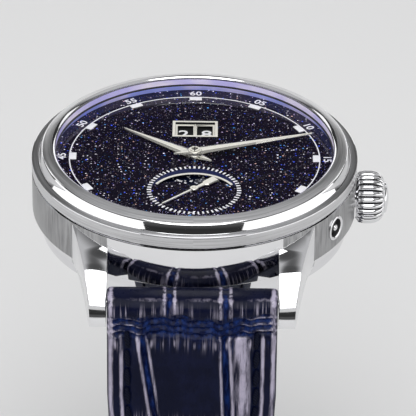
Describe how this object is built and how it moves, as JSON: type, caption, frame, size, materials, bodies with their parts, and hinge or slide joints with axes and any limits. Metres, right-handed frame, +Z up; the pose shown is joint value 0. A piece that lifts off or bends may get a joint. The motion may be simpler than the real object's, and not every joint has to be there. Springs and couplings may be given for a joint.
{
  "type": "moon phase watch",
  "caption": "Round steel wristwatch with a dark sparkling dial, large date, small seconds and moon phase, closed on a navy leather strap with a pin buckle.",
  "frame": {"origin": "on the floor under the axis of the case, on the flat outer face of the fixed keeper", "axes": "+X towards 3 o'clock and the crown, +Y towards 12 o'clock, +Z up out of the dial"},
  "size_m": [0.044, 0.0527, 0.0688],
  "materials": {
    "steel_satin": "satin brushed steel",
    "steel_polished": "mirror polished steel",
    "sapphire": "clear domed crystal with a faint violet coating",
    "gasket": "black sealing plastic",
    "aventurine": "dark blue sparkling glass, polished",
    "white_print": "raised white print",
    "bright_steel": "polished and faceted hand steel",
    "disc_black": "black disc with pale figures",
    "moon_blue": "night blue disc with moons and stars",
    "nickel": "nickel plated movement plate with a stripe pattern",
    "brass": "gilt brass wheel",
    "blued": "heat blued steel",
    "ruby": "synthetic ruby",
    "leather": "navy crocodile grained calf, semi gloss"
  },
  "bodies": {
    "watch": {"case_middle": "steel_satin", "bezel": "steel_satin", "crystal": "sapphire", "crystal_gasket": "gasket", "rehaut_ring": "steel_polished", "case_back": "steel_polished", "back_crystal": "sapphire", "back_gasket": "gasket", "case_back_screws": "steel_polished", "spring_bars": "steel_satin", "crown_tube": "steel_polished", "corrector_tube": "steel_polished", "dial": "aventurine", "hour_markers": "white_print", "date_frame": "bright_steel", "moon_arc": "bright_steel", "movement_ring": "nickel", "main_plate": "nickel", "barrel_bridge": "nickel", "train_bridge": "nickel", "balance_cock": "nickel", "hairspring": "blued", "rotor_hub": "steel_polished", "movement_screws": "blued", "bridge_jewels": "ruby", "strap_12": "leather", "strap_6": "leather", "fixed_keeper": "leather", "buckle_frame": "steel_polished", "buckle_bar": "steel_satin"},
    "minute_hand_set": {"minute_hand": "bright_steel", "hand_nut": "bright_steel", "cannon_pinion": "steel_satin"},
    "hour_hand_set": {"hour_hand": "bright_steel", "hour_wheel": "brass"},
    "minute_wheel_set": {"minute_wheel": "brass"},
    "seconds_set": {"fourth_wheel": "brass", "small_seconds_hand": "bright_steel"},
    "third_set": {"third_wheel": "brass"},
    "centre_set": {"centre_wheel": "brass"},
    "escape_set": {"escape_wheel": "brass"},
    "barrel_set": {"mainspring_barrel": "brass", "mainspring": "steel_satin"},
    "pallet_set": {"pallet_fork": "steel_polished"},
    "balance_set": {"balance_wheel": "brass"},
    "crown_carrier": {"crown_gasket": "gasket"},
    "crown_set": {"crown": "steel_polished", "winding_stem": "steel_satin"},
    "winding_pinion_set": {"winding_pinion": "steel_satin"},
    "crown_wheel_set": {"crown_wheel": "steel_satin"},
    "ratchet_set": {"ratchet_wheel": "steel_satin", "barrel_arbor": "steel_satin"},
    "moon_set": {"moon_disc": "moon_blue"},
    "date_units_set": {"date_units_disc": "disc_black"},
    "date_tens_set": {"date_tens_disc": "disc_black"},
    "rotor_set": {"rotor": "nickel"},
    "corrector_set": {"corrector_pusher": "steel_polished"},
    "tongue_set": {"buckle_tongue": "steel_polished"},
    "keeper_set": {"floating_keeper": "leather"}
  },
  "joints": [
    {"name": "minute_hand_turn", "type": "hinge", "parent": "watch", "child": "minute_hand_set", "pos_m": [0, 0, 0.062], "axis": [0, 0, -1], "continuous": true},
    {"name": "hour_hand_turn", "type": "hinge", "parent": "watch", "child": "hour_hand_set", "pos_m": [0, 0, 0.062], "axis": [0, 0, -1], "continuous": true},
    {"name": "minute_wheel_turn", "type": "hinge", "parent": "watch", "child": "minute_wheel_set", "pos_m": [0.003, 0, 0.062], "axis": [0, 0, -1], "continuous": true},
    {"name": "seconds_hand_turn", "type": "hinge", "parent": "watch", "child": "seconds_set", "pos_m": [0, -0.00789, 0.062], "axis": [0, 0, -1], "continuous": true},
    {"name": "third_wheel_turn", "type": "hinge", "parent": "watch", "child": "third_set", "pos_m": [-0.00189, -0.00408, 0.062], "axis": [0, 0, -1], "continuous": true},
    {"name": "centre_wheel_turn", "type": "hinge", "parent": "watch", "child": "centre_set", "pos_m": [0, 0, 0.062], "axis": [0, 0, -1], "continuous": true},
    {"name": "escape_wheel_turn", "type": "hinge", "parent": "watch", "child": "escape_set", "pos_m": [0.0028, -0.00509, 0.062], "axis": [0, 0, -1], "continuous": true},
    {"name": "barrel_turn", "type": "hinge", "parent": "watch", "child": "barrel_set", "pos_m": [0.00315, 0.00546, 0.062], "axis": [0, 0, -1], "continuous": true},
    {"name": "pallet_rock", "type": "hinge", "parent": "watch", "child": "pallet_set", "pos_m": [0.0052, -0.00509, 0.062], "axis": [0, 0, -1], "range_deg": [-5, 5]},
    {"name": "balance_swing", "type": "hinge", "parent": "watch", "child": "balance_set", "pos_m": [0.00796, -0.00558, 0.062], "axis": [0, 0, -1], "range_deg": [-270, 270], "stiffness_Nm_per_rad": 0.0000003},
    {"name": "crown_pull", "type": "slide", "parent": "watch", "child": "crown_carrier", "axis": [1, 0, 0], "range_m": [0, 0.0011]},
    {"name": "crown_turn", "type": "hinge", "parent": "crown_carrier", "child": "crown_set", "pos_m": [0.02, 0, 0.0607], "axis": [1, 0, 0], "continuous": true},
    {"name": "winding_pinion_turn", "type": "hinge", "parent": "watch", "child": "winding_pinion_set", "pos_m": [0.00825, 0, 0.0607], "axis": [1, 0, 0], "continuous": true},
    {"name": "crown_wheel_turn", "type": "hinge", "parent": "watch", "child": "crown_wheel_set", "pos_m": [0.00576, 0, 0.062], "axis": [0, 0, 1], "continuous": true},
    {"name": "ratchet_turn", "type": "hinge", "parent": "watch", "child": "ratchet_set", "pos_m": [0.00315, 0.00546, 0.062], "axis": [0, 0, 1], "continuous": true},
    {"name": "moon_disc_turn", "type": "hinge", "parent": "watch", "child": "moon_set", "pos_m": [0, -0.00789, 0.062], "axis": [0, 0, -1], "continuous": true},
    {"name": "date_units_turn", "type": "hinge", "parent": "watch", "child": "date_units_set", "pos_m": [0.00625, 0.00704, 0.062], "axis": [0, 0, -1], "continuous": true},
    {"name": "date_tens_turn", "type": "hinge", "parent": "watch", "child": "date_tens_set", "pos_m": [-0.00625, 0.00704, 0.062], "axis": [0, 0, -1], "continuous": true},
    {"name": "rotor_turn", "type": "hinge", "parent": "watch", "child": "rotor_set", "pos_m": [0, 0, 0.062], "axis": [0, 0, -1], "continuous": true},
    {"name": "corrector_press", "type": "slide", "parent": "watch", "child": "corrector_set", "axis": [-0.8599, 0.5105, 0], "range_m": [0, 0.0008], "stiffness_N_per_m": 200},
    {"name": "tongue_hinge", "type": "hinge", "parent": "watch", "child": "tongue_set", "pos_m": [0, -0.006, 0.0047], "axis": [1, 0, 0], "range_deg": [0, 10]},
    {"name": "keeper_slide", "type": "slide", "parent": "watch", "child": "keeper_set", "axis": [0, 0, 1], "range_m": [-0.004, 0.004]}
  ],
  "couplings": [
    {"joint": "hour_hand_turn", "follows": "minute_hand_turn", "ratio": 0.083333},
    {"joint": "minute_wheel_turn", "follows": "minute_hand_turn", "ratio": -0.33333},
    {"joint": "third_wheel_turn", "follows": "seconds_hand_turn", "ratio": -0.13333},
    {"joint": "centre_wheel_turn", "follows": "seconds_hand_turn", "ratio": 0.016667},
    {"joint": "escape_wheel_turn", "follows": "seconds_hand_turn", "ratio": -10},
    {"joint": "barrel_turn", "follows": "seconds_hand_turn", "ratio": -0.0027778},
    {"joint": "winding_pinion_turn", "follows": "crown_turn", "ratio": 1},
    {"joint": "crown_wheel_turn", "follows": "crown_turn", "ratio": 0.5625},
    {"joint": "ratchet_turn", "follows": "crown_turn", "ratio": -0.375}
  ]
}
